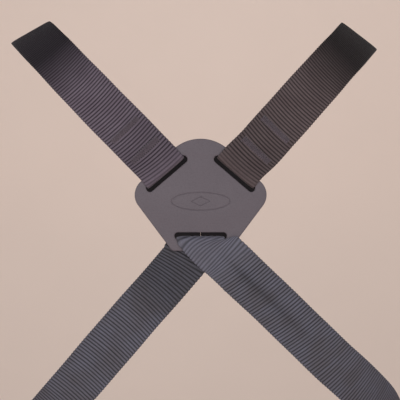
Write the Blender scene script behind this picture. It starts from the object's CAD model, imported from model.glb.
import math
import random

import bmesh
import bpy
import numpy as np
from mathutils import Matrix, Vector


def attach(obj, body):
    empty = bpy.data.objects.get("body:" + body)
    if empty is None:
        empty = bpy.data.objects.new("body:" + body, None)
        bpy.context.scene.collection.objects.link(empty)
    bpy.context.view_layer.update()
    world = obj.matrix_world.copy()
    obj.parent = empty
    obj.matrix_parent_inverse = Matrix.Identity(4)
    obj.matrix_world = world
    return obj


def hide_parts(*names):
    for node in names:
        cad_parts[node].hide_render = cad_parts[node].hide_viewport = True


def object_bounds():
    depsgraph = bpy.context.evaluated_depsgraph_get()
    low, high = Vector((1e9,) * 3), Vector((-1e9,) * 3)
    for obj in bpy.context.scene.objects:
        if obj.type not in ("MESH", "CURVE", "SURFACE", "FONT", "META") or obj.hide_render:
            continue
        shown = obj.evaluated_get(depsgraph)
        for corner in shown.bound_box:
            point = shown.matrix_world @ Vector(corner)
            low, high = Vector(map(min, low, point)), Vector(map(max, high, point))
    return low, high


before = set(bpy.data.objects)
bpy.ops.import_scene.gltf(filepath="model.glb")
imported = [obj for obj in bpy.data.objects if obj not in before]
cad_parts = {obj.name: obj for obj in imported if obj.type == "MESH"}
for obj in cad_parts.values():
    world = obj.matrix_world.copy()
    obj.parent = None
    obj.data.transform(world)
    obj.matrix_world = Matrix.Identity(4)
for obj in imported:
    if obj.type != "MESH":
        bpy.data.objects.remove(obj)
cad_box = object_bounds()

# Routes and sizes below are millimetres, as in the CAD source. MM turns them into Blender's metres.
MM = 0.001
SIDES = {"left": -1, "right": 1}

# ---- the harness's driving dimensions, which the CAD model shares ----
WEB_WIDTH, WEB_THICK = 38.0, 1.6
LAYER = 2.0  # from the middle of one layer to the middle of the next where webbing is doubled
GAP = 0.35  # clearance between pieces that touch
TURN_SET = 0.6  # how far past a slot's edge the middle of the webbing's turn lies

# The plates' corner circles are (x, z, radius).
PLATE_THICK, PLATE_WEARER_FACE = 3.0, -0.5
DOME = (0, 16, 32.3)
LOBE = (38, 4, 14)
FOOT = (20.5, -36.1, 4)
SIDE_SLOT = dict(x=26.7, z=20.7, angle=40.5, length=41, width=6)
FOOT_SLOT = dict(x=0, z=-28.3, angle=0, length=41.4, width=5.6)
FRONT_Y, FRONT_THICK = 235.0, 3.4
UPPER_SLOT = dict(x=35.2, z=28.9, angle=43.4, length=41, width=6)
LOWER_SLOT = {
    "left": dict(x=14.8, z=-55.4, angle=-40.8, length=41, width=6),
    "right": dict(x=20.1, z=-51.9, angle=-43.6, length=41, width=6),
}
FLANK = (40.5, -19, 6)
INNER_EDGE = (4.05, -32, 4)
INNER_TOP = (18, 37.5, 6.5)
# Corners that go with a slot: how far from its middle along it, how far out from it, and the radius.
# The outline runs inside the circle of a negative radius.
UPPER_CORNER = (19, 2, 5.5)
NOTCH = (29, -0.7, -6)
LOWER_CORNER = (20, 2.5, 3)
LEAD_SLOT = dict(width=14, height=4.6, corner=1.5)
WINDOW = dict(width=20, bottom=-18, corner=3)

LEAD_X, LEAD_BAR_Z, LEAD_BAR = 24.5, 8.0, 3.4
LEAD_WIDTH, LEAD_THICK = 10, 1.4
LEAD_TOP_RADIUS, LEAD_FOOT_RADIUS = 3.4, 2.9
KEEPER = dict(at=68, length=10, wall=1.0, clear=0.35)
SOCKET_Y, SOCKET_BAR_Z = 245.0, -38.0
# The ring's wire is 1.1 along its axis in the CAD.
RING = dict(radius=7.5, radial=1.5, axial=1.16, pitch=1.5, turns=1.92, drop=4.6)
EYE_Z = -75.55


def vec(*xyz):
    return np.array(xyz, dtype=float)


def unit(v):
    return v / np.linalg.norm(v)


# ---- camera ----
CAMERA_X = -0.0005
CAMERA_BACK = 1.1  # metres from the plane y = 0
FRAME_WIDTH = 0.316  # metres of that plane that the picture spans
SENSOR = 36.0


def make_camera():
    data = bpy.data.cameras.new("camera")
    data.sensor_width = SENSOR
    data.lens = SENSOR * CAMERA_BACK / FRAME_WIDTH
    data.clip_start = 0.05
    data.clip_end = 20
    camera = bpy.data.objects.new("camera", data)
    camera.location = (CAMERA_X, -CAMERA_BACK, 0.0)
    camera.rotation_euler = (math.radians(90), 0, 0)
    bpy.context.scene.collection.objects.link(camera)
    bpy.context.scene.camera = camera


make_camera()


# ---- routes of the webbing, as stations of (middle, direction across) ----
class Run:
    """A smooth centripetal curve through stations, measured along its length."""

    STEPS = 16

    def __init__(self, stations, closed=False):
        self.points = [s[0] for s in stations]
        self.across = [unit(s[1]) for s in stations]
        self.closed = closed
        self.spans = len(stations) - (0 if closed else 1)
        knots = np.linspace(0, self.spans, self.spans * self.STEPS + 1)
        places = np.array([self.point(t) for t in knots])
        steps = np.linalg.norm(np.diff(places, axis=0), axis=1)
        self.knots = knots
        self.lengths = np.concatenate([[0], np.cumsum(steps)])
        self.length = self.lengths[-1]

    def _corner(self, i):
        n = len(self.points)
        if self.closed:
            return self.points[i % n]
        if i < 0:
            return 2 * self.points[0] - self.points[1]
        if i >= n:
            return 2 * self.points[-1] - self.points[-2]
        return self.points[i]

    def point(self, t):
        i = min(int(t), self.spans - 1)
        f = t - i
        a, b, c, d = (self._corner(i + k) for k in (-1, 0, 1, 2))
        da, db, dc = (max(np.linalg.norm(q - p), 1e-4) ** 0.5 for p, q in ((a, b), (b, c), (c, d)))
        start = ((b - a) / da - (c - a) / (da + db) + (c - b) / db) * db
        end = ((c - b) / db - (d - b) / (db + dc) + (d - c) / dc) * db
        return b + start * f + (3 * (c - b) - 2 * start - end) * f**2 + (2 * (b - c) + start + end) * f**3

    def frame_at(self, s):
        """(middle, along, across, through) at a distance along the run."""
        t = float(np.interp(s, self.lengths, self.knots))
        i = min(int(t), self.spans - 1)
        f = t - i
        after = self.across[(i + 1) % len(self.across)]
        across = unit(self.across[i] * (1 - f) + after * f)
        low, high = max(t - 1e-3, 0), min(t + 1e-3, self.spans)
        along = unit(self.point(high) - self.point(low))
        return self.point(t), along, across, unit(np.cross(along, across))

    def station_at(self, i):
        """Distance along the run to a station."""
        return self.lengths[i * self.STEPS]


def slot_frame(slot, side, bar_above):
    """The direction along a slot, and the one across it towards the bar that the strap turns round."""
    a = math.radians(slot["angle"])
    across = vec(-side * math.cos(a), 0, math.sin(a))
    away = vec(side * abs(math.sin(a)), 0, bar_above * math.cos(a))
    return across, away


def turn(middle, away, face, across, radius, centre_at):
    """Stations of half a turn round a slot's bar, from the side that `face` points away from."""
    centre = middle + away * centre_at
    angles = [math.radians(d) for d in (0, 45, 90, 135, 180)]
    return [(centre - face * radius * math.cos(a) - away * radius * math.sin(a), across) for a in angles]


def layer(run, offsets, outward):
    """The stations of a run, each moved square to the cloth by its offset, to the side of `outward`."""
    places = []
    for i, (p, w) in enumerate(run):
        step = run[min(i + 1, len(run) - 1)][0] - run[max(i - 1, 0)][0]
        normal = unit(np.cross(step, w))
        if normal @ outward < 0:
            normal = -normal
        places.append((p + normal * offsets[i], w))
    return places


# A point of a shoulder strap's route comes with the degrees that the strap tips outward there.
BACK_ROUTE = {
    "left": [
        ((-47, -3.0, 42.5), 44), ((-64.3, 2, 60), 43.5), ((-93.3, 12, 90), 43), ((-117.5, 30, 115), 41),
        ((-134.1, 57, 132), 37), ((-143.9, 85, 142), 31), ((-146.6, 105, 144.6), 28.7),
        ((-144.2, 126, 142), 31), ((-133.7, 153, 131), 37), ((-115.5, 179, 112), 41),
    ],
    "right": [
        ((46.5, -3.0, 41.5), 44), ((62.9, 2, 60), 43.5), ((90, 12, 90), 43), ((110.8, 30, 113), 47.9),
        ((125.9, 57, 129.5), 43.9), ((134.6, 85, 139), 37.9), ((136.7, 105, 141.1), 37.3),
        ((134.5, 126, 138.5), 37.9), ((125.3, 153, 128), 43.9), ((109.3, 179, 110), 41),
    ],
}
SEWN_FROM = 8  # the station of a shoulder strap that leaves the back plate
LEAVING_AT = 12  # how far that station is from the slot's middle

# The straight stretch above the front plate: its ends, and how far its foot is from the slot's middle.
STRAIGHT_TOP = {"left": vec(-95, 200.5, 90), "right": vec(92, 200.5, 90)}
STRAIGHT_FOOT_Y = 231.2
FOOT_AT = 14
# How far from a front plate's slot the strap's stations before and after its turn are.
UPPER_STATIONS = (8, 9)
LOWER_STATIONS = (10, 8)
# Distances up the straight stretch: of the strap's stations, and of the tail's with its height above them.
MAIN_DOWN = (80, 64, 48, 33, 18, 2)
TAIL_UP = [(8, 2.6), (14, LAYER), (30, LAYER), (46, LAYER), (62, LAYER), (77, LAYER)]


def chest_line(name):
    """The straight stretch's foot, its directions up, across and outward, and the slot's frame below it."""
    side = SIDES[name]
    across, away = slot_frame(UPPER_SLOT, side, 1)
    middle = vec(side * UPPER_SLOT["x"], FRONT_Y, UPPER_SLOT["z"])
    foot = middle + away * FOOT_AT
    foot[1] = STRAIGHT_FOOT_Y
    up = unit(STRAIGHT_TOP[name] - foot)
    w = unit(across - up * (across @ up))
    outward = unit(np.cross(up, w))
    if outward[1] < 0:
        outward = -outward
    return foot, up, w, outward, middle, across, away


def shoulder_stations(name):
    side = SIDES[name]
    across, away = slot_frame(SIDE_SLOT, side, 1)
    middle = vec(side * SIDE_SLOT["x"], PLATE_WEARER_FACE - PLATE_THICK / 2, SIDE_SLOT["z"])
    radius = PLATE_THICK / 2 + GAP + WEB_THICK / 2
    back_turn = turn(middle, away, vec(0, -1, 0), across, radius, SIDE_SLOT["width"] / 2 + TURN_SET)
    leaving = (middle + away * LEAVING_AT + vec(0, -radius, 0), across)
    route = []
    for place, slope in BACK_ROUTE[name]:
        a = math.radians(slope)
        route.append((vec(*place), vec(-side * math.cos(a), 0, math.sin(a))))
    tail_top = (route[0][0] * 0.25 + route[1][0] * 0.75, route[1][1])
    tail = layer([leaving, route[0], tail_top], [2 * radius, LAYER, LAYER], vec(0, 1, 0))[::-1]

    foot, up, w, outward, front_middle, front_across, front_away = chest_line(name)
    front_radius = FRONT_THICK / 2 + GAP + WEB_THICK / 2
    main_down = [(foot + up * s, w) for s in MAIN_DOWN]
    before, after = UPPER_STATIONS
    arrival = (front_middle + front_away * before + vec(0, -front_radius, 0), front_across)
    front_turn = turn(front_middle, front_away, vec(0, 1, 0), front_across, front_radius,
                      UPPER_SLOT["width"] / 2 + TURN_SET)
    leaving_front = (front_middle + front_away * after + vec(0, front_radius, 0), front_across)
    tail_up = [(foot + up * s + outward * lift, w) for s, lift in TAIL_UP]
    down = tail + back_turn + [leaving] + route + main_down + [arrival]
    return down + front_turn + [leaving_front] + tail_up


# A point of the underarm strap's route comes with the direction across the strap there.
UNDERARM = {
    "left": [
        ((-13.6, 1.3, -48), (-0.757, 0, 0.653)), ((-36, 1.6, -74), (-0.757, 0, 0.653)),
        ((-61.6, 4, -103.4), (-0.757, 0, 0.653)), ((-88, 9, -134), (-0.757, 0, 0.653)),
        ((-110.5, 17, -160.4), (-0.74, 0, 0.67)), ((-138, 40, -191), (-0.55, 0, 0.83)),
        ((-158, 76, -212), (-0.3, 0, 0.95)), ((-165, 118, -219), (-0.18, 0, 0.98)),
        ((-156, 160, -212), (-0.3, 0, 0.95)), ((-134, 194, -192), (-0.55, 0, 0.83)),
        ((-110.5, 212, -167.5), (-0.72, 0, 0.69)), ((-79.5, 224, -133), (-0.757, 0, 0.653)),
        ((-49.5, 230.5, -98.5), (-0.757, 0, 0.653)),
    ],
    "right": [
        ((16.6, -4.95, -43.2), (-0.69, 0, -0.724)), ((36, -3.6, -61.6), (-0.69, 0, -0.724)),
        ((76.4, 2, -100.2), (-0.69, 0, -0.724)), ((104, 9, -127), (-0.69, 0, -0.724)),
        ((120, 16, -142), (-0.68, 0, -0.73)), ((147, 38, -168), (-0.5, 0, -0.86)),
        ((164, 74, -190), (-0.3, 0, -0.95)), ((169, 118, -200), (-0.18, 0, -0.98)),
        ((163, 156, -196), (-0.3, 0, -0.95)), ((149, 190, -179), (-0.5, 0, -0.86)),
        ((122, 210, -152), (-0.66, 0, -0.75)), ((86, 224, -119), (-0.7, 0, -0.71)),
        ((52, 230.5, -86), (-0.724, 0, -0.69)),
    ],
}


def underarm_end(name, last, w):
    """The stations round a front plate's lower bar and back along the strap to its sewn end."""
    side, slot = SIDES[name], LOWER_SLOT[name]
    away = slot_frame(slot, side, -1)[1]
    middle = vec(side * slot["x"], FRONT_Y, slot["z"])
    radius = FRONT_THICK / 2 + GAP + WEB_THICK / 2
    before, after = LOWER_STATIONS
    arrival = (middle + away * before + vec(0, -radius, 0), w)
    around = turn(middle, away, vec(0, 1, 0), w, radius, slot["width"] / 2 + TURN_SET)
    leaving = (middle + away * after + vec(0, radius, 0), w)
    doubled = [(arrival[0] * (1 - f) + last * f, w) for f in (0.3, 0.55, 0.9)]
    tail = layer([(arrival[0], w)] + doubled, [0, 2.9, LAYER, LAYER], vec(0, 1, 0))[1:]
    return [arrival] + around + [leaving] + tail


def underarm_stations():
    """The whole strap's stations, and the one in the middle of its turn through the back plate."""
    left, right = ([(vec(*p), unit(vec(*w))) for p, w in UNDERARM[n]] for n in ("left", "right"))
    left_end = underarm_end("left", left[-1][0], left[-1][1])
    right_end = underarm_end("right", right[-1][0], right[-1][1])
    middle = vec(FOOT_SLOT["x"], PLATE_WEARER_FACE - PLATE_THICK / 2, FOOT_SLOT["z"])
    radius = PLATE_THICK / 2 + GAP + WEB_THICK / 2
    centre_at = FOOT_SLOT["width"] / 2 + TURN_SET
    through = turn(middle, vec(0, 0, -1), vec(0, -1, 0), vec(-1, 0, 0), radius, centre_at)
    behind = (vec(-5.6, radius + middle[1] + 0.3, -38), unit(vec(-0.94, 0, 0.34)))
    infront = (vec(8.2, middle[1] - radius - 0.3, -37), unit(vec(-0.9, 0, -0.42)))
    before = left_end[::-1] + left[::-1] + [behind]
    stations = before + through + [infront] + right + right_end
    return stations, len(before) + len(through) // 2


# ---- mesh building ----
def new_piece(name, vertices, faces):
    """A smooth-shaded piece of closed mesh, with its faces turned outward."""
    mesh = bpy.data.meshes.new(name)
    mesh.from_pydata([tuple(v) for v in vertices], [], faces)
    mesh.validate()
    mesh.update()
    piece = bpy.data.objects.new(name, mesh)
    bpy.context.scene.collection.objects.link(piece)
    face_outward(piece)
    mesh.polygons.foreach_set("use_smooth", [True] * len(mesh.polygons))
    return piece


def face_outward(piece):
    work = bmesh.new()
    work.from_mesh(piece.data)
    bmesh.ops.recalc_face_normals(work, faces=work.faces)
    work.to_mesh(piece.data)
    work.free()


def finish_piece(piece, body, material, slot, *nodes):
    """Give a piece its material, and let it ride on a body in place of its CAD nodes."""
    piece.data.materials.clear()
    piece.data.materials.append(material)
    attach(piece, body)
    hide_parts(*nodes)


# One rib: where its sections lie, as a share of the pitch, and how high the webbing stands there.
RIB_SECTIONS = [(0.0, 0.0), (0.1, 0.3), (0.24, 0.85), (0.48, 1.0), (0.74, 0.88), (0.9, 0.35)]
# Places across the webbing from its middle (0) to its edge (1).
ACROSS = [0, 0.22, 0.45, 0.66, 0.83, 0.94, 0.985, 1.0]


def rib_rows(length, pitch, unevenness, noise):
    """Where every section of every rib lies along the webbing, with its height and its rib's tone."""
    ribs = round(length / pitch)
    edges = [i + (noise.uniform(-unevenness, unevenness) if 0 < i < ribs else 0) for i in range(ribs + 1)]
    rows = []
    for low, high in zip(edges, edges[1:]):
        tone = noise.uniform(-1, 1)
        depth = noise.uniform(0.0, 0.3)
        for share, height in RIB_SECTIONS:
            place = low + (high - low) * share
            rows.append((place * length / ribs, height if share else depth, tone))
    return rows


def ribbed_webbing(name, run, width, thick, look, seed, closed=False, shear=None, fade=None, calm=None):
    """Cross-ribbed elastic: rounded ribs with narrow gaps, bowed across, that scallop both edges.
    look has the rib's pitch, depth, bow, scallop and unevenness. shear(s) slants the ribs at s.
    fade(s, point, u) is how much the cloth is rubbed pale (to 1) or has kept its dark dye (to -1).
    calm(s) is how much of the ribs' depth is left where the cloth is stretched flat."""
    noise = random.Random(seed)
    rows = rib_rows(run.length, look["pitch"], look["uneven"], noise)
    if not closed:
        rows.append((run.length, 0.0, 0.0))
    sway = [noise.uniform(0, math.tau) for _ in range(3)]
    columns = [-u for u in reversed(ACROSS)] + ACROSS[1:]
    loop = [(1, u) for u in columns] + [(-1, u) for u in columns[-2:0:-1]]
    vertices, rib_height, web_place, rib_tone, rubbed = [], [], [], [], []
    for s, height, tone in rows:
        height = 1 - (1 - height) * (calm(s) if calm else 1)
        slant = shear(s) if shear else 0.0
        frames = {u: run.frame_at(s + slant * u * width / 2) for u in columns} if slant else None
        level = run.frame_at(s)
        wander = 0.12 * math.sin(s / 17 + sway[0]) + 0.08 * math.sin(s / 7.3 + sway[1])
        half_width = width / 2 - look["scallop"] * (1 - height) + 0.15 * math.sin(s / 23 + sway[2])
        lean = look["bow"] * math.sin(s / 41 + sway[1])
        flat = thick / 2 - look["depth"] * (1 - height)
        for sign, u in loop:
            middle, along, across, through = frames[u] if frames else level
            rounding = math.sqrt(max(1 - abs(u) ** 7, 0.0))
            ahead = look["bow"] * (0.5 - u * u) + lean * u * 0.5
            at = middle + across * (u * half_width + wander) + along * ahead
            vertices.append(at + through * (sign * flat * rounding))
            web_place.append((u * width / 2, s, sign))
        rib_height.extend([height] * len(loop))
        rib_tone.extend([tone] * len(loop))
        rubbed.extend([fade(s, level[0], u) if fade else 0.0 for _, u in loop])
    faces = []
    count, rings = len(loop), len(rows)
    for i in range(rings if closed else rings - 1):
        a, b = i * count, (i + 1) % rings * count
        for j in range(count):
            k = (j + 1) % count
            faces.append((a + j, a + k, b + k, b + j))
    if not closed:
        faces.append(tuple(range(count))[::-1])
        faces.append(tuple((rings - 1) * count + j for j in range(count)))
    piece = new_piece(name, np.array(vertices) * MM, faces)
    add_attribute(piece, "rib", "FLOAT", rib_height)
    add_attribute(piece, "rib_tone", "FLOAT", rib_tone)
    add_attribute(piece, "rubbed", "FLOAT", rubbed)
    add_attribute(piece, "web", "FLOAT_VECTOR", web_place)
    return piece


def add_attribute(piece, name, kind, values):
    attribute = piece.data.attributes.new(name, kind, "POINT")
    flat = [c for v in values for c in v] if kind == "FLOAT_VECTOR" else values
    attribute.data.foreach_set("vector" if kind == "FLOAT_VECTOR" else "value", flat)


def thread_tubes(name, paths, radius, sides=6):
    """Every path as its own thin tube, all in one piece."""
    vertices, faces = [], []
    for path in paths:
        base = len(vertices)
        for i, p in enumerate(path):
            along = unit(path[min(i + 1, len(path) - 1)] - path[max(i - 1, 0)])
            aside = unit(np.cross(along, vec(0.31, 0.87, 0.39)))
            up = np.cross(aside, along)
            for j in range(sides):
                a = math.tau * j / sides
                vertices.append(p + radius * (aside * math.cos(a) + up * math.sin(a)))
        for i in range(len(path) - 1):
            for j in range(sides):
                k = (j + 1) % sides
                a, b = base + i * sides, base + (i + 1) * sides
                faces.append((a + j, a + k, b + k, b + j))
        faces.append(tuple(base + j for j in reversed(range(sides))))
        faces.append(tuple(base + (len(path) - 1) * sides + j for j in range(sides)))
    return new_piece(name, np.array(vertices) * MM, faces)


STITCH_ROWS = 3
THREAD_RADIUS = 0.21
STITCH_DIP = 0.5  # how far a stitch's ends sink into the webbing
STITCH_SHARES = (0.0, 0.18, 0.5, 0.82, 1.0)  # places along one stitch


def bar_tack(name, run, s, reach, length, width, stitches, seed, lift):
    """Rows of zigzag stitches across the webbing, on the face that `reach` points out of."""
    noise = random.Random(seed)
    sign = 1 if run.frame_at(s)[3] @ reach > 0 else -1
    paths = []
    for row in range(STITCH_ROWS):
        offset = noise.uniform(-0.3, 0.3)
        for i in range(stitches):
            edge = -1 if (i + row) % 2 else 1
            u0 = (i / stitches - 0.5) * length + offset + noise.uniform(-0.12, 0.12)
            u1 = ((i + 1) / stitches - 0.5) * length + offset + noise.uniform(-0.12, 0.12)
            v0 = s + edge * width / 2 + noise.uniform(-0.25, 0.25)
            v1 = s - edge * width / 2 + noise.uniform(-0.25, 0.25)
            path = []
            for f in STITCH_SHARES:
                place, _, w, out = run.frame_at(v0 + (v1 - v0) * f)
                dip = STITCH_DIP if f in (0.0, 1.0) else 0
                height = lift + 0.3 * math.sin(math.pi * f) + 0.08 * row - dip
                path.append(place + w * (u0 + (u1 - u0) * f) + out * sign * (WEB_THICK / 2 + height))
            paths.append(path)
    return thread_tubes(name, paths, THREAD_RADIUS)


# ---- flat plates from outlines of circles and slots ----
def belt_points(circles, step=4):
    """Points (x, z) on the belt round circles given counter-clockwise. It runs inside one of negative r."""
    normals = []
    for i, (x, z, r) in enumerate(circles):
        x2, z2, r2 = circles[(i + 1) % len(circles)]
        heading = math.atan2(z2 - z, x2 - x)
        lean = math.asin((r - r2) / math.hypot(x2 - x, z2 - z))
        normals.append(heading - math.pi / 2 + lean)
    points = []
    for i, (x, z, r) in enumerate(circles):
        start, end = normals[i - 1], normals[i]
        sweep = (end - start) % math.tau - (math.tau if r < 0 else 0)
        steps = max(2, math.ceil(math.degrees(abs(sweep)) / step))
        for k in range(steps + 1):
            a = start + sweep * k / steps
            points.append((x + r * math.cos(a), z + r * math.sin(a)))
    return points


def slot_points(slot, side=1, step=15):
    """The outline of a slot with round ends."""
    a = -side * math.radians(slot["angle"])
    r = slot["width"] / 2
    run = slot["length"] / 2 - r
    points = []
    for end in (1, -1):
        cx = side * slot["x"] + end * run * math.cos(a)
        cz = slot["z"] + end * run * math.sin(a)
        start = a - math.pi / 2 if end > 0 else a + math.pi / 2
        for k in range(0, 180 + step, step):
            b = start + math.radians(k)
            points.append((cx + r * math.cos(b), cz + r * math.sin(b)))
    return points


def box_points(low, high, r, step=30):
    """The outline of a box with corners of radius r."""
    corners = [(high[0] - r, low[1] + r, -90), (high[0] - r, high[1] - r, 0),
               (low[0] + r, high[1] - r, 90), (low[0] + r, low[1] + r, 180)]
    return [(x + r * math.cos(math.radians(a + k)), z + r * math.sin(math.radians(a + k)))
            for x, z, a in corners for k in range(0, 90 + step, step)]


def plate_piece(name, outline, holes, middle_y, thick, edge):
    """A flat sheet with rounded edges, from a filled curve."""
    curve = bpy.data.curves.new(name, "CURVE")
    curve.dimensions = "2D"
    curve.fill_mode = "BOTH"
    curve.extrude = (thick / 2 - edge) * MM
    curve.bevel_depth = edge * MM
    curve.bevel_resolution = 3
    curve.offset = -edge * MM
    for loop in [outline] + holes:
        spline = curve.splines.new("POLY")
        spline.points.add(len(loop) - 1)
        for point, (x, z) in zip(spline.points, loop):
            point.co = (x * MM, z * MM, 0, 1)
        spline.use_cyclic_u = True
    drawn = bpy.data.objects.new(name + "_outline", curve)
    bpy.context.scene.collection.objects.link(drawn)
    bpy.context.view_layer.update()
    mesh = bpy.data.meshes.new_from_object(drawn)
    bpy.data.objects.remove(drawn)
    mesh.name = name
    piece = bpy.data.objects.new(name, mesh)
    bpy.context.scene.collection.objects.link(piece)
    mesh.transform(Matrix.Translation((0, middle_y * MM, 0)) @ Matrix.Rotation(math.radians(90), 4, "X"))
    weld(piece)
    return piece


def weld(piece, distance=1e-6):
    work = bmesh.new()
    work.from_mesh(piece.data)
    bmesh.ops.remove_doubles(work, verts=work.verts, dist=distance)
    bmesh.ops.recalc_face_normals(work, faces=work.faces)
    work.to_mesh(piece.data)
    work.free()


def shade_by_angle(piece, degrees=35):
    work = bmesh.new()
    work.from_mesh(piece.data)
    limit = math.radians(degrees)
    for face in work.faces:
        face.smooth = True
    for edge in work.edges:
        edge.smooth = len(edge.link_faces) == 2 and edge.calc_face_angle(0) < limit
    work.to_mesh(piece.data)
    work.free()


def apply_modifiers(piece):
    bpy.context.view_layer.update()
    evaluated = piece.evaluated_get(bpy.context.evaluated_depsgraph_get())
    mesh = bpy.data.meshes.new_from_object(evaluated)
    piece.modifiers.clear()
    piece.data = mesh


def cut_away(piece, tools):
    """Cut the tools out of a piece and remove them."""
    for tool in tools:
        modifier = piece.modifiers.new("cut", "BOOLEAN")
        modifier.operation = "DIFFERENCE"
        modifier.solver = "EXACT"
        modifier.object = tool
    apply_modifiers(piece)
    for tool in tools:
        bpy.data.objects.remove(tool)


def groove_tool(name, path, radius, y):
    """A closed round bead along a path of (x, z), for pressing a groove into a face at y."""
    sides = 8
    loop = [vec(x, y, z) for x, z in path]
    vertices, faces = [], []
    for i, p in enumerate(loop):
        along = unit(loop[(i + 1) % len(loop)] - loop[i - 1])
        aside = unit(np.cross(along, vec(0, 1, 0)))
        for j in range(sides):
            a = math.tau * j / sides
            vertices.append(p + radius * (aside * math.cos(a) + vec(0, 1, 0) * math.sin(a)))
    for i in range(len(loop)):
        a, b = i * sides, (i + 1) % len(loop) * sides
        for j in range(sides):
            k = (j + 1) % sides
            faces.append((a + j, a + k, b + k, b + j))
    return new_piece(name, np.array(vertices) * MM, faces)


def softened(node, name, edge, segments=3):
    """A copy of a CAD node with every sharp edge rounded, as moulded plastic is."""
    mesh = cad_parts[node].data.copy()
    piece = bpy.data.objects.new(name, mesh)
    bpy.context.scene.collection.objects.link(piece)
    weld(piece, 1e-5)
    work = bmesh.new()
    work.from_mesh(mesh)
    bmesh.ops.dissolve_limit(work, angle_limit=math.radians(2), verts=work.verts, edges=work.edges)
    sharp = [e for e in work.edges if len(e.link_faces) == 2 and e.calc_face_angle(0) > math.radians(30)]
    bmesh.ops.bevel(work, geom=sharp, offset=edge * MM, offset_type="OFFSET", segments=segments,
                    profile=0.5, affect="EDGES", clamp_overlap=True)
    bmesh.ops.recalc_face_normals(work, faces=work.faces)
    work.to_mesh(mesh)
    work.free()
    shade_by_angle(piece, 40)
    return piece


# ---- materials ----
class Nodes:
    """A short way to build a node material."""

    def __init__(self, name):
        self.material = bpy.data.materials.new(name)
        self.material.use_nodes = True
        self.tree = self.material.node_tree
        self.shader = self.tree.nodes["Principled BSDF"]

    def add(self, kind, inputs=None, **settings):
        node = self.tree.nodes.new(kind)
        for key, value in settings.items():
            setattr(node, key, value)
        for key, value in (inputs or {}).items():
            self.set(node, key, value)
        return node

    def set(self, node, key, value):
        if isinstance(value, bpy.types.NodeSocket):
            self.tree.links.new(value, node.inputs[key])
        else:
            node.inputs[key].default_value = value

    def math(self, operation, a, b=0.0, clamp=False):
        return self.add("ShaderNodeMath", {0: a, 1: b}, operation=operation, use_clamp=clamp).outputs[0]

    def mix(self, factor, a, b):
        node = self.add("ShaderNodeMix", data_type="RGBA")
        self.set(node, 0, factor)
        self.set(node, 6, a)
        self.set(node, 7, b)
        return node.outputs[2]

    def attribute(self, name, output="Fac"):
        return self.add("ShaderNodeAttribute", attribute_name=name).outputs[output]

    def noise(self, scale, detail=3.0, vector=None):
        node = self.add("ShaderNodeTexNoise", {"Scale": scale, "Detail": detail})
        if vector is None:
            vector = self.add("ShaderNodeTexCoord").outputs["Object"]
        self.set(node, "Vector", vector)
        return node.outputs["Fac"]

    def ramp(self, value, low, high):
        node = self.add("ShaderNodeMapRange", {"Value": value, "From Min": low, "From Max": high})
        return node.outputs["Result"]

    def bump(self, height, strength, distance, normal=None):
        node = self.add("ShaderNodeBump", {"Height": height, "Strength": strength, "Distance": distance})
        if normal is not None:
            self.set(node, "Normal", normal)
        return node.outputs["Normal"]


def rgb(r, g, b):
    """An sRGB colour of 0 to 255 as a linear colour."""
    def linear(c):
        c /= 255
        return c / 12.92 if c <= 0.04045 else ((c + 0.055) / 1.055) ** 2.4
    return (linear(r), linear(g), linear(b), 1.0)


def elastic_material(name, top, gap, light, roughness, sheen):
    """Cross-ribbed elastic: pale rib tops, dark gaps, fine lengthwise yarns and a slight unevenness."""
    n = Nodes(name)
    web = n.attribute("web", "Vector")
    parts = n.add("ShaderNodeSeparateXYZ", {0: web})
    rib = n.attribute("rib")
    tone = n.attribute("rib_tone")
    stretched = n.math("MULTIPLY", parts.outputs[1], 0.22)
    yarn_at = n.add("ShaderNodeCombineXYZ", {0: parts.outputs[0], 1: stretched})
    yarns = n.noise(2.6, 2.0, yarn_at.outputs[0])
    fine = n.math("SINE", n.math("MULTIPLY", parts.outputs[0], math.tau / 0.62))
    patches = n.noise(55.0, 2.0)
    grain = n.noise(1400.0, 2.0)
    face = n.mix(n.ramp(patches, 0.35, 0.7), top, light)
    face = n.mix(n.ramp(yarns, 0.35, 0.7), face, n.mix(0.35, face, gap))
    tint = n.add("ShaderNodeMath", {0: tone, 1: 0.09, 2: 0.5}, operation="MULTIPLY_ADD")
    face = n.mix(tint.outputs[0], face, light)
    groove = n.math("POWER", n.math("SUBTRACT", 1.0, rib, True), 0.6)
    colour = n.mix(groove, face, gap)
    colour = n.mix(n.math("MULTIPLY", grain, 0.35), colour, gap)
    rubbed = n.attribute("rubbed")
    colour = n.mix(n.math("MULTIPLY", rubbed, 0.5, True), colour, light)
    colour = n.mix(n.math("MULTIPLY", rubbed, -0.87, True), colour, gap)
    n.set(n.shader, "Base Color", colour)
    n.set(n.shader, "Roughness", roughness)
    n.shader.inputs["Sheen Weight"].default_value = sheen
    n.shader.inputs["Sheen Roughness"].default_value = 0.45
    n.shader.inputs["Sheen Tint"].default_value = (0.82, 0.82, 0.88, 1)
    n.shader.inputs["Specular IOR Level"].default_value = 0.25
    weave = n.math("ADD", n.math("MULTIPLY", fine, 0.35), n.math("MULTIPLY", yarns, 0.9))
    normal = n.bump(weave, 0.45, 0.0002)
    normal = n.bump(grain, 0.3, 0.0001, normal)
    n.set(n.shader, "Normal", normal)
    return n.material


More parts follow.
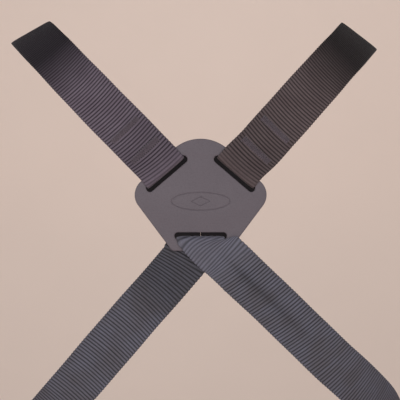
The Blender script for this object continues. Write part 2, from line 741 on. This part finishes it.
def leather_material(name, colour, dark, specular=0.3):
    """A smooth, matte, lightly grained sheet."""
    n = Nodes(name)
    grain = n.noise(900.0, 4.0)
    pores = n.add("ShaderNodeTexVoronoi", {"Scale": 1500.0})
    n.set(pores, "Vector", n.add("ShaderNodeTexCoord").outputs["Object"])
    patches = n.noise(28.0, 3.0)
    face = n.mix(n.ramp(patches, 0.3, 0.75), colour, n.mix(0.22, colour, dark))
    face = n.mix(n.math("MULTIPLY", n.ramp(grain, 0.45, 0.75), 0.25), face, dark)
    n.set(n.shader, "Base Color", face)
    n.set(n.shader, "Roughness", n.ramp(grain, -1.2, 1.6))
    n.shader.inputs["Specular IOR Level"].default_value = specular
    normal = n.bump(grain, 0.22, 0.0002)
    normal = n.bump(pores.outputs["Distance"], 0.18, 0.00012, normal)
    n.set(n.shader, "Normal", normal)
    return n.material


def thread_material(name, colour, dark):
    """Twisted sewing thread."""
    n = Nodes(name)
    twist = n.noise(2600.0, 2.0)
    n.set(n.shader, "Base Color", n.mix(n.ramp(twist, 0.35, 0.7), colour, dark))
    n.set(n.shader, "Roughness", 0.85)
    n.set(n.shader, "Normal", n.bump(twist, 0.5, 0.0001))
    n.shader.inputs["Sheen Weight"].default_value = 0.2
    return n.material


def plastic_material(name, colour, worn):
    """Moulded acetal with a fine spark-eroded grain, a little paler where it is rubbed."""
    n = Nodes(name)
    grain = n.noise(2200.0, 3.0)
    patches = n.noise(60.0, 3.0)
    n.set(n.shader, "Base Color", n.mix(n.ramp(patches, 0.45, 0.8), colour, worn))
    n.set(n.shader, "Roughness", n.ramp(patches, -1.4, 2.2))
    n.set(n.shader, "Normal", n.bump(grain, 0.25, 0.0001))
    n.shader.inputs["Specular IOR Level"].default_value = 0.45
    return n.material


def steel_material(name, colour, dull):
    """Plated wire with fine scratches."""
    n = Nodes(name)
    scratches = n.noise(700.0, 5.0)
    n.set(n.shader, "Base Color", n.mix(n.ramp(scratches, 0.3, 0.8), colour, dull))
    n.shader.inputs["Metallic"].default_value = 1.0
    n.set(n.shader, "Roughness", n.ramp(scratches, -0.9, 3.0))
    n.set(n.shader, "Normal", n.bump(scratches, 0.08, 0.0001))
    return n.material


def lead_material(name, colour, light):
    """Plain-woven narrow webbing: lengthwise yarns crossed by picks."""
    n = Nodes(name)
    parts = n.add("ShaderNodeSeparateXYZ", {0: n.attribute("web", "Vector")})
    warp = n.math("SINE", n.math("MULTIPLY", parts.outputs[0], math.tau / 0.9))
    weft = n.math("SINE", n.math("MULTIPLY", parts.outputs[1], math.tau / 1.1))
    weave = n.math("MULTIPLY", warp, weft)
    n.set(n.shader, "Base Color", n.mix(n.ramp(weave, -0.8, 0.9), colour, light))
    n.set(n.shader, "Roughness", 0.8)
    n.set(n.shader, "Normal", n.bump(weave, 0.8, 0.0003))
    n.shader.inputs["Sheen Weight"].default_value = 0.25
    return n.material


LEATHER = leather_material("plate_leather", rgb(83, 76, 83), rgb(62, 57, 63))
BLACK_LEATHER = leather_material("front_leather", rgb(26, 23, 26), rgb(15, 13, 16), specular=0.08)
SHOULDER = {
    "left": elastic_material("shoulder_elastic_left", rgb(98, 86, 99), rgb(13, 8, 15), rgb(118, 107, 120),
                             roughness=0.85, sheen=0.04),
    "right": elastic_material("shoulder_elastic_right", rgb(86, 73, 75), rgb(13, 8, 10), rgb(104, 91, 93),
                              roughness=0.85, sheen=0.04),
}
UNDERARM_CLOTH = elastic_material("underarm_elastic", rgb(84, 77, 80), rgb(12, 11, 14), rgb(102, 102, 117),
                                  roughness=0.62, sheen=0.05)
THREAD = thread_material("tack_thread", rgb(88, 76, 86), rgb(34, 27, 34))
PLASTIC = plastic_material("black_acetal", rgb(34, 34, 37), rgb(48, 48, 51))
STEEL = steel_material("nickel_wire", rgb(205, 205, 208), rgb(160, 160, 165))
LEAD_CLOTH = lead_material("lead_nylon", rgb(38, 38, 42), rgb(66, 66, 72))
KEEPER_CLOTH = elastic_material("keeper_elastic", rgb(58, 54, 60), rgb(18, 16, 20), rgb(70, 66, 72),
                                roughness=0.85, sheen=0.3)

# ---- the pieces ----
STRAP_LOOK = dict(pitch=2.6, depth=0.5, bow=0.9, scallop=0.45, uneven=0.07)
KEEPER_LOOK = dict(pitch=1.5, depth=0.2, bow=0.0, scallop=0.1, uneven=0.03)
LEAD_LOOK = dict(pitch=1.1, depth=0.12, bow=0.0, scallop=0.08, uneven=0.03)
PLATE_EDGE = 0.7  # the rounding of the plates' and adjusters' edges

# The plain mark in the back plate's outer face: an oval groove round a lozenge.
MARK_Z = -1
OVAL = (23, 7)
LOZENGE = (7.5, 3.6)
OVAL_GROOVE, LOZENGE_GROOVE = 0.6, 0.55
GROOVE_OUT = 0.25  # how far outside the face a groove's bead is centred


def make_back_plate():
    outline = belt_points([DOME, (-LOBE[0], *LOBE[1:]), (-FOOT[0], *FOOT[1:]), FOOT, LOBE])
    holes = [slot_points(SIDE_SLOT, -1), slot_points(SIDE_SLOT, 1), slot_points(FOOT_SLOT)]
    middle_y = PLATE_WEARER_FACE - PLATE_THICK / 2
    piece = plate_piece("back_plate_sheet", outline, holes, middle_y, PLATE_THICK, PLATE_EDGE)
    angles = np.linspace(0, math.tau, 72, endpoint=False)
    oval = [(OVAL[0] * math.cos(a), MARK_Z + OVAL[1] * math.sin(a)) for a in angles]
    half_w, half_h = LOZENGE
    lozenge = [(half_w, MARK_Z), (0, MARK_Z + half_h), (-half_w, MARK_Z), (0, MARK_Z - half_h)]
    groove_y = PLATE_WEARER_FACE - PLATE_THICK - GROOVE_OUT
    oval_tool = groove_tool("oval_tool", oval, OVAL_GROOVE, groove_y)
    lozenge_tool = groove_tool("lozenge_tool", lozenge, LOZENGE_GROOVE, groove_y)
    cut_away(piece, [oval_tool, lozenge_tool])
    shade_by_angle(piece)
    finish_piece(piece, "harness", LEATHER, "plate_leather", "back_plate")


def make_front_plate(name):
    side = SIDES[name]
    x = side * LEAD_X

    def corner(slot, bar_above, end, place):
        along, out, r = place
        across, away = slot_frame(slot, side, bar_above)
        p = vec(side * slot["x"], 0, slot["z"]) - across * (along * end) + away * out
        return (p[0], p[2], r)

    def on_side(circle):
        return (side * circle[0], circle[1], circle[2])

    def opening(hole, low, high):
        return box_points((x - hole["width"] / 2, low), (x + hole["width"] / 2, high), hole["corner"])

    lower = LOWER_SLOT[name]
    circles = [
        corner(UPPER_SLOT, 1, -1, UPPER_CORNER),
        corner(UPPER_SLOT, 1, 1, UPPER_CORNER),
        on_side(FLANK),
        corner(lower, -1, 1, NOTCH),
        corner(lower, -1, 1, LOWER_CORNER),
        corner(lower, -1, -1, LOWER_CORNER),
        on_side(INNER_EDGE),
        on_side(INNER_TOP),
    ]
    outline = belt_points(circles if side < 0 else circles[::-1])
    bar_top, bar_foot = LEAD_BAR_Z + LEAD_BAR / 2, LEAD_BAR_Z - LEAD_BAR / 2
    holes = [
        slot_points(UPPER_SLOT, side),
        slot_points(lower, side),
        opening(LEAD_SLOT, bar_top, bar_top + LEAD_SLOT["height"]),
        opening(WINDOW, WINDOW["bottom"], bar_foot),
    ]
    piece = plate_piece(f"front_plate_{name}_sheet", outline, holes, FRONT_Y, FRONT_THICK, PLATE_EDGE)
    shade_by_angle(piece)
    finish_piece(piece, "harness", BLACK_LEATHER, "front_leather", f"front_plate_{name}")


# How dark the shoulder cloth is by height: a little by the plates, and fully over the shoulder's crest.
DYE_HEIGHTS = [42, 66, 92, 120]
DYE = [0.25, 0, 0, 1]
# The ribs lie flatter close to the side slot's bar, by the distance from it, and bow towards it.
CALM_PLACES = [3, 14]
CALM = [0.4, 1]
SHOULDER_LOOK = dict(STRAP_LOOK, bow=-1.2)

TACK_LENGTH, ZIGZAG = 28, 5.6
SHOULDER_TACKS = {"lower": 25, "upper": 48}  # distance from the side slot
SHOULDER_STITCHES = 30


def make_shoulder_strap(name, seed):
    run = Run(shoulder_stations(name))
    slot_at = run.station_at(SEWN_FROM) - LEAVING_AT

    def fade(_s, point, _u):
        return -float(np.interp(point[2], DYE_HEIGHTS, DYE))

    def calm(s):
        return float(np.interp(abs(s - slot_at), CALM_PLACES, CALM))

    piece = ribbed_webbing(f"shoulder_webbing_{name}", run, WEB_WIDTH, WEB_THICK, SHOULDER_LOOK, seed,
                           fade=fade, calm=calm)
    finish_piece(piece, "harness", SHOULDER[name], "shoulder_elastic", f"shoulder_strap_{name}")
    for word, distance in SHOULDER_TACKS.items():
        tack = bar_tack(f"shoulder_stitching_{name}_{word}", run, slot_at + distance, vec(0, -1, 0),
                        TACK_LENGTH, ZIGZAG, SHOULDER_STITCHES, seed + distance, 0.0)
        finish_piece(tack, "harness", THREAD, "stitching", f"back_tack_{name}_{word}")


# How the ribs slant where the strap turns through the foot slot, by distance from the turn's middle.
FOLD_PLACES = [-60, -24, 0, 34, 130, 170]
FOLD_SLANTS = [0, -0.2, 0.5, -0.14, -0.16, 0]
# Where the strap has been rubbed pale (above 0) or kept its dark dye (below 0), by the same distance.
WORN_PLACES = [-85, -50, -12, 2, 20, 50]
WORN = [0, -0.55, -0.45, 0.6, 0.55, 0]
# A soft lengthwise crease runs down the outer leg: where it starts, is full and ends, and how dark it is.
CREASE_PLACES = [22, 45, 85, 130]
CREASE = [0, 0.55, 0.4, 0]
CREASE_WIDTH = 0.2

UNDERARM_END = 14  # from the strap's end to its lower tack
UNDERARM_TACKS = {"lower": 0, "upper": 13}
UNDERARM_STITCHES = 38


def make_underarm_strap():
    stations, slot_station = underarm_stations()
    run = Run(stations)
    slot_at = run.station_at(slot_station)

    def shear(s):
        return float(np.interp(s - slot_at, FOLD_PLACES, FOLD_SLANTS))

    def fade(s, _point, u):
        worn = float(np.interp(s - slot_at, WORN_PLACES, WORN))
        crease = float(np.interp(s - slot_at, CREASE_PLACES, CREASE))
        return worn - crease * math.exp(-(u / CREASE_WIDTH) ** 2)

    piece = ribbed_webbing("underarm_webbing", run, WEB_WIDTH, WEB_THICK, STRAP_LOOK, 7, shear=shear,
                           fade=fade)
    finish_piece(piece, "harness", UNDERARM_CLOTH, "underarm_elastic", "underarm_strap")
    for name, end, inward in (("left", UNDERARM_END, 1), ("right", run.length - UNDERARM_END, -1)):
        for word, shift in UNDERARM_TACKS.items():
            tack = bar_tack(f"underarm_stitching_{name}_{word}", run, end + inward * shift, vec(0, 1, 0),
                            TACK_LENGTH, ZIGZAG, UNDERARM_STITCHES, 40 + shift, 0.0)
            finish_piece(tack, "harness", THREAD, "stitching", f"underarm_tack_{name}_{word}")


def make_adjuster(name):
    piece = softened(f"strap_adjuster_{name}", f"webbing_slide_{name}", PLATE_EDGE)
    finish_piece(piece, f"adjuster_{name}", PLASTIC, "black_plastic", f"strap_adjuster_{name}")


KEEPER_CORNER = 1.2


def make_keeper(name):
    """A band round the strap and its tail, as a closed run of webbing."""
    foot, up, w, outward, *_ = chest_line(name)
    centre = foot + up * KEEPER["at"] + outward * (LAYER / 2)
    half_wide = WEB_WIDTH / 2 + KEEPER["clear"] + KEEPER["wall"] / 2
    half_high = LAYER / 2 + WEB_THICK / 2 + KEEPER["clear"] + KEEPER["wall"] / 2
    r = KEEPER_CORNER
    stations = []
    for cx, cz, start in ((half_wide - r, half_high - r, 0), (-half_wide + r, half_high - r, 90),
                          (-half_wide + r, -half_high + r, 180), (half_wide - r, -half_high + r, 270)):
        for k in (0, 45, 90):
            a = math.radians(start + k)
            p = centre + w * (cx + r * math.cos(a)) + outward * (cz + r * math.sin(a))
            stations.append((p, up))
    run = Run(stations, closed=True)
    piece = ribbed_webbing(f"keeper_band_{name}", run, KEEPER["length"], KEEPER["wall"], KEEPER_LOOK, 11,
                           closed=True)
    finish_piece(piece, f"keeper_{name}", KEEPER_CLOTH, "keeper_elastic", f"tail_keeper_{name}")


# The lead's two runs between its bars, as (y, z).
LEAD_OUTER = [(240.3, 0), (242.6, -9), (244.9, -18), (246.8, -28)]
LEAD_INNER = [(242.9, -28), (242.9, -18), (240.6, -9), (237.5, -1)]
LEAD_TACK_STATION, LEAD_TACK_BACK = 5, 2  # the tack is centred this far before that station
LEAD_TACK_LENGTH, LEAD_ZIGZAG, LEAD_STITCHES = 8, 3.6, 13
SOCKET_EDGE, PRONG_EDGE = 0.45, 0.3  # the rounding of the sockets' and plugs' edges, and of the prongs'


def lead_run(name):
    x = SIDES[name] * LEAD_X

    def at(centre, r, degrees):
        a = math.radians(degrees)
        return vec(x, centre[0] + r * math.cos(a), centre[1] + r * math.sin(a))

    bar, foot = (FRONT_Y, LEAD_BAR_Z), (SOCKET_Y, SOCKET_BAR_Z)
    points = [at(bar, LEAD_TOP_RADIUS, a) for a in (90, 45, 0)]
    points += [vec(x, y, z) for y, z in LEAD_OUTER]
    points += [at(foot, LEAD_FOOT_RADIUS, a) for a in (0, -45, -90, -135, 180)]
    points += [vec(x, y, z) for y, z in LEAD_INNER]
    points += [at(bar, LEAD_TOP_RADIUS, a) for a in (240, 210, 180, 135)]
    return Run([(p, vec(1, 0, 0)) for p in points], closed=True)


def make_lead(name):
    run = lead_run(name)
    piece = ribbed_webbing(f"lead_loop_{name}", run, LEAD_WIDTH, LEAD_THICK, LEAD_LOOK, 5, closed=True)
    finish_piece(piece, f"lead_{name}", LEAD_CLOTH, "lead_webbing", f"lead_webbing_{name}")
    tack_at = run.station_at(LEAD_TACK_STATION) - LEAD_TACK_BACK
    tack = bar_tack(f"lead_stitching_{name}", run, tack_at, vec(0, 1, 0),
                    LEAD_TACK_LENGTH, LEAD_ZIGZAG, LEAD_STITCHES, 3, (LEAD_THICK - WEB_THICK) / 2)
    finish_piece(tack, f"lead_{name}", THREAD, "stitching", f"lead_tack_{name}")
    for node, body, edge in ((f"buckle_socket_{name}", f"lead_{name}", SOCKET_EDGE),
                             (f"buckle_plug_{name}", f"plug_{name}", SOCKET_EDGE),
                             (f"plug_prong_{name}_outer", f"prong_{name}_outer", PRONG_EDGE),
                             (f"plug_prong_{name}_inner", f"prong_{name}_inner", PRONG_EDGE)):
        finish_piece(softened(node, node + "_moulding", edge), body, PLASTIC, "black_plastic", node)


def make_split_ring(name):
    """A wire of oval section, wound in a flat helix of nearly two turns."""
    x = SIDES[name] * LEAD_X
    steps, sides = 120, 12
    vertices, faces = [], []
    for i in range(steps + 1):
        a = math.radians(-90) + i / steps * RING["turns"] * math.tau
        radial = vec(0, math.cos(a), math.sin(a))
        shift = (i / steps - 0.5) * RING["turns"] * RING["pitch"]
        p = vec(x + shift, SOCKET_Y, EYE_Z - RING["drop"]) + radial * RING["radius"]
        for j in range(sides):
            b = math.tau * j / sides
            out, along = RING["radial"] / 2 * math.cos(b), RING["axial"] / 2 * math.sin(b)
            vertices.append(p + radial * out + vec(along, 0, 0))
    for i in range(steps):
        for j in range(sides):
            k = (j + 1) % sides
            faces.append((i * sides + j, i * sides + k, (i + 1) * sides + k, (i + 1) * sides + j))
    faces.append(tuple(reversed(range(sides))))
    faces.append(tuple(steps * sides + j for j in range(sides)))
    piece = new_piece(f"split_ring_{name}_wire", np.array(vertices) * MM, faces)
    finish_piece(piece, f"ring_{name}", STEEL, "ring_steel", f"split_ring_{name}")


make_back_plate()
make_underarm_strap()
for side_name, side_seed in (("left", 1), ("right", 2)):
    make_front_plate(side_name)
    make_shoulder_strap(side_name, side_seed)
    make_adjuster(side_name)
    make_keeper(side_name)
    make_lead(side_name)
    make_split_ring(side_name)


# ---- floor and light ----
def floor_material(colour, glow):
    """A matt sheet that glows a little, so that it stays pale where no lamp reaches it."""
    n = Nodes("pale_floor")
    mottle = n.noise(6.0, 3.0)
    face = n.mix(mottle, colour, n.mix(0.04, colour, rgb(90, 80, 74)))
    n.set(n.shader, "Base Color", face)
    n.set(n.shader, "Emission Color", face)
    n.shader.inputs["Emission Strength"].default_value = glow
    n.shader.inputs["Roughness"].default_value = 0.9
    n.shader.inputs["Specular IOR Level"].default_value = 0.1
    return n.material


# The floor, in metres: how far below the harness, where it bends up and how tightly, and its extent.
FLOOR_DROP = 0.45
SWEEP_START, SWEEP_RADIUS = 2.0, 0.8
FLOOR_REACH, WALL_HEIGHT = 8.0, 4.0
FLOOR_GLOW = 0.36


def make_floor():
    """A pale floor below the harness that sweeps up behind it."""
    floor_z = cad_box[0][2] - FLOOR_DROP
    profile = [(-FLOOR_REACH, 0.0), (SWEEP_START, 0.0)]
    for degrees in range(10, 91, 10):
        a = math.radians(degrees)
        profile.append((SWEEP_START + SWEEP_RADIUS * math.sin(a), SWEEP_RADIUS * (1 - math.cos(a))))
    profile.append((SWEEP_START + SWEEP_RADIUS, WALL_HEIGHT))
    vertices = [(x, y, floor_z + z) for y, z in profile for x in (-FLOOR_REACH, FLOOR_REACH)]
    faces = [(2 * i, 2 * i + 1, 2 * i + 3, 2 * i + 2) for i in range(len(profile) - 1)]
    floor = new_piece("floor", vertices, faces)
    floor.data.materials.append(floor_material(rgb(205, 189, 180), FLOOR_GLOW))


# Each lamp: its name, place, aim, size in metres and power in watts.
LIGHTS = [
    ("key", (-0.6, -2.0, 0.4), (0, 0, -0.02), 1.1, 31.5),
    ("fill", (0.9, -1.9, 0.2), (0, 0, 0), 1.1, 16),
    ("backdrop", (0.0, 1.1, 1.1), (0, 2.6, 0.1), 1.2, 8.5),
    ("front_left", (-0.9, 0.85, 0.35), (0, 0.15, 0), 0.6, 5),
    ("front_right", (0.9, 0.85, 0.35), (0, 0.15, 0), 0.6, 5),
]
HORIZON_LIGHT, ZENITH_LIGHT = 0.37, 0.04


def area_light(name, place, aim, size, power):
    data = bpy.data.lights.new(name, "AREA")
    data.shape = "DISK"
    data.size = size
    data.energy = power
    light = bpy.data.objects.new(name, data)
    light.location = place
    light.rotation_euler = (Vector(aim) - Vector(place)).to_track_quat("-Z", "Y").to_euler()
    bpy.context.scene.collection.objects.link(light)


def make_world(horizon, zenith):
    """Pale light all around at eye level that fades to a dim ceiling."""
    world = bpy.data.worlds.new("studio")
    world.use_nodes = True
    tree = world.node_tree
    background = tree.nodes["Background"]
    background.inputs[0].default_value = (1.0, 0.91, 0.84, 1)
    place = tree.nodes.new("ShaderNodeTexCoord")
    parts = tree.nodes.new("ShaderNodeSeparateXYZ")
    fade = tree.nodes.new("ShaderNodeMapRange")
    tree.links.new(place.outputs["Generated"], parts.inputs[0])
    tree.links.new(parts.outputs[2], fade.inputs["Value"])
    tree.links.new(fade.outputs["Result"], background.inputs[1])
    for key, value in (("From Min", 0.1), ("From Max", 0.6), ("To Min", horizon), ("To Max", zenith)):
        fade.inputs[key].default_value = value
    bpy.context.scene.world = world


make_floor()
make_world(HORIZON_LIGHT, ZENITH_LIGHT)
for light in LIGHTS:
    area_light(*light)
bpy.context.scene.view_settings.view_transform = "Standard"
